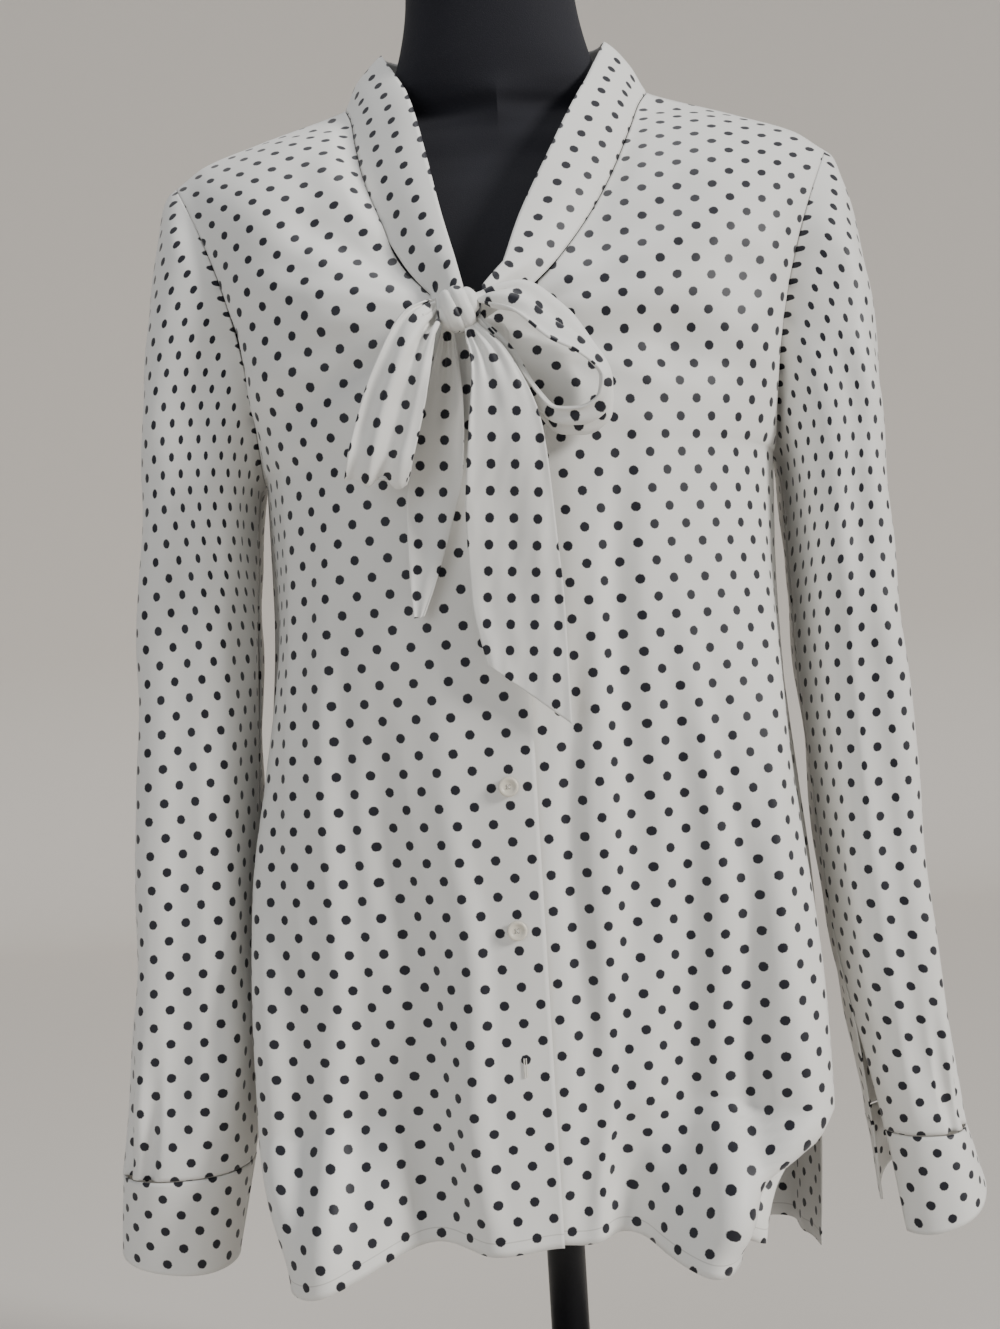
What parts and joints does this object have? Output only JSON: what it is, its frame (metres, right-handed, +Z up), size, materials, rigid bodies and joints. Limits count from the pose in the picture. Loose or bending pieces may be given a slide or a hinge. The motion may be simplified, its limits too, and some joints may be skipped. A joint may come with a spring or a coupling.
{
  "type": "tie neck blouse on a dress form",
  "caption": "Long-sleeved front-buttoning blouse with a tie collar bow, worn by a limbless dress form on a pole and a round base.",
  "frame": {"origin": "centre of the base's underside, on the floor", "axes": "+Z up along the pole, -Y the way the buttoned front faces, +X the wearer's left, so right in the picture"},
  "size_m": [0.5298, 0.3152, 0.974],
  "materials": {
    "cloth": "ivory crepe with small near-black dots, soft sheen",
    "button": "cream pearl, four holes",
    "form": "matt black jersey cover",
    "stand": "black powder coat"
  },
  "bodies": {
    "root": {"front_right": "cloth", "front_left": "cloth", "back": "cloth", "sleeve_right": "cloth", "sleeve_left": "cloth", "cuff_right": "cloth", "cuff_left": "cloth", "tie_collar": "cloth", "bow_knot": "cloth", "bow_loop_right": "cloth", "bow_loop_left": "cloth", "bow_tail_right": "cloth", "bow_tail_left": "cloth", "button_1": "button", "button_2": "button", "button_3": "button", "button_4": "button", "button_5": "button", "dress_form": "form", "stand_pole": "stand", "stand_base": "stand"}
  },
  "joints": []
}
